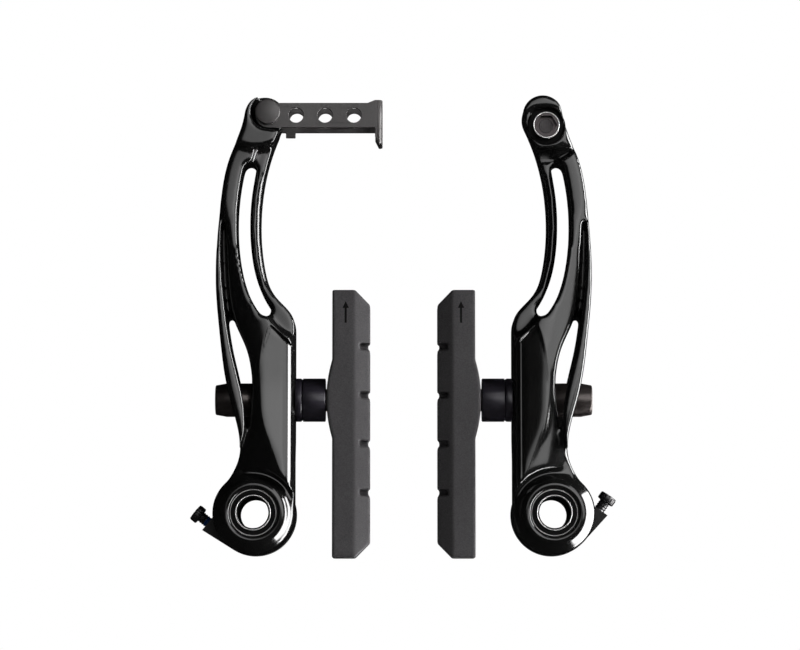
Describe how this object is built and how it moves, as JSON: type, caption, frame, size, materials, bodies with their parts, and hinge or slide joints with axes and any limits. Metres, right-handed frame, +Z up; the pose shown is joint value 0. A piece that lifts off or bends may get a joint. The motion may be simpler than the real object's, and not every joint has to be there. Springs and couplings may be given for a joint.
{
  "type": "linear-pull bicycle brake",
  "caption": "Linear-pull rim brake: mirrored black arms on frame-boss pivots, with grooved rubber pads on spherical washers, a swivelling cable link and a cable anchor bolt.",
  "frame": {"origin": "midway between the two frame-boss axes, on the shoulder plane that the brake is bolted against", "axes": "+X to the right as seen from the front, +Y towards the bicycle frame along the boss axes, +Z up along the arms"},
  "size_m": [0.1143, 0.0264, 0.1237],
  "materials": {
    "arm": "gloss black anodised",
    "sleeve": "turned",
    "liner": "moulded",
    "housing": "satin moulded",
    "spring": "drawn wire",
    "screw": "blackened",
    "washer": "black anodised",
    "nut": "blackened",
    "stud": "blackened thread",
    "pad": "moulded",
    "link": "dark grey satin",
    "pin": "dark grey satin",
    "clamp_washer": "blackened",
    "anchor_bolt": "blackened, bright at the rim"
  },
  "bodies": {
    "boss_side": {"left_pivot_sleeve": "sleeve", "right_pivot_sleeve": "sleeve", "left_spring_housing": "housing", "right_spring_housing": "housing"},
    "left_arm": {"left_arm": "arm", "left_pivot_liner": "liner", "left_return_spring": "spring", "link_pin": "pin"},
    "right_arm": {"right_arm": "arm", "right_pivot_liner": "liner", "right_return_spring": "spring", "clamp_washer": "clamp_washer", "anchor_bolt": "anchor_bolt"},
    "cable_link": {"cable_link": "link"},
    "left_pad_seat": {"left_inner_dome_washer": "washer", "left_outer_dome_washer": "washer"},
    "left_pad_cups": {"left_inner_cup_washer": "washer", "left_outer_cup_washer": "washer", "left_flat_washer": "nut", "left_pad_nut": "nut"},
    "left_pad": {"left_pad": "pad", "left_pad_stud": "stud"},
    "right_pad_seat": {"right_inner_dome_washer": "washer", "right_outer_dome_washer": "washer"},
    "right_pad_cups": {"right_inner_cup_washer": "washer", "right_outer_cup_washer": "washer", "right_flat_washer": "nut", "right_pad_nut": "nut"},
    "right_pad": {"right_pad": "pad", "right_pad_stud": "stud"},
    "left_tension_screw": {"left_tension_screw": "screw"},
    "right_tension_screw": {"right_tension_screw": "screw"}
  },
  "joints": [
    {"name": "left_arm_pivot", "type": "hinge", "parent": "boss_side", "child": "left_arm", "pos_m": [-0.04, 0, 0], "axis": [0, 1, 0], "range_deg": [-30, 5], "stiffness_Nm_per_rad": 0.4},
    {"name": "right_arm_pivot", "type": "hinge", "parent": "boss_side", "child": "right_arm", "pos_m": [0.04, 0, 0], "axis": [0, -1, 0], "range_deg": [-30, 5], "stiffness_Nm_per_rad": 0.4},
    {"name": "link_swivel", "type": "hinge", "parent": "left_arm", "child": "cable_link", "pos_m": [-0.0365, -0.0146, 0.1073], "axis": [0, -1, 0], "range_deg": [-4, 60]},
    {"name": "left_pad_height", "type": "slide", "parent": "left_arm", "child": "left_pad_seat", "axis": [0, 0, 1], "range_m": [-0.0045, 0.0045]},
    {"name": "left_pad_toe", "type": "hinge", "parent": "left_pad_seat", "child": "left_pad_cups", "pos_m": [-0.0317, -0.0132, 0.0304], "axis": [0, 0, 1], "range_deg": [-4, 4]},
    {"name": "left_pad_turn", "type": "hinge", "parent": "left_pad_cups", "child": "left_pad", "pos_m": [-0.0317, -0.0132, 0.0304], "axis": [1, 0, 0], "continuous": true},
    {"name": "right_pad_height", "type": "slide", "parent": "right_arm", "child": "right_pad_seat", "axis": [0, 0, 1], "range_m": [-0.0045, 0.0045]},
    {"name": "right_pad_toe", "type": "hinge", "parent": "right_pad_seat", "child": "right_pad_cups", "pos_m": [0.0317, -0.0132, 0.0304], "axis": [0, 0, 1], "range_deg": [-4, 4]},
    {"name": "right_pad_turn", "type": "hinge", "parent": "right_pad_cups", "child": "right_pad", "pos_m": [0.0317, -0.0132, 0.0304], "axis": [1, 0, 0], "continuous": true},
    {"name": "left_screw_travel", "type": "slide", "parent": "boss_side", "child": "left_tension_screw", "axis": [-0.7765, 0, 0.6301], "range_m": [-0.0015, 0.002]},
    {"name": "right_screw_travel", "type": "slide", "parent": "boss_side", "child": "right_tension_screw", "axis": [0.5799, 0, 0.8147], "range_m": [-0.0015, 0.002]}
  ]
}
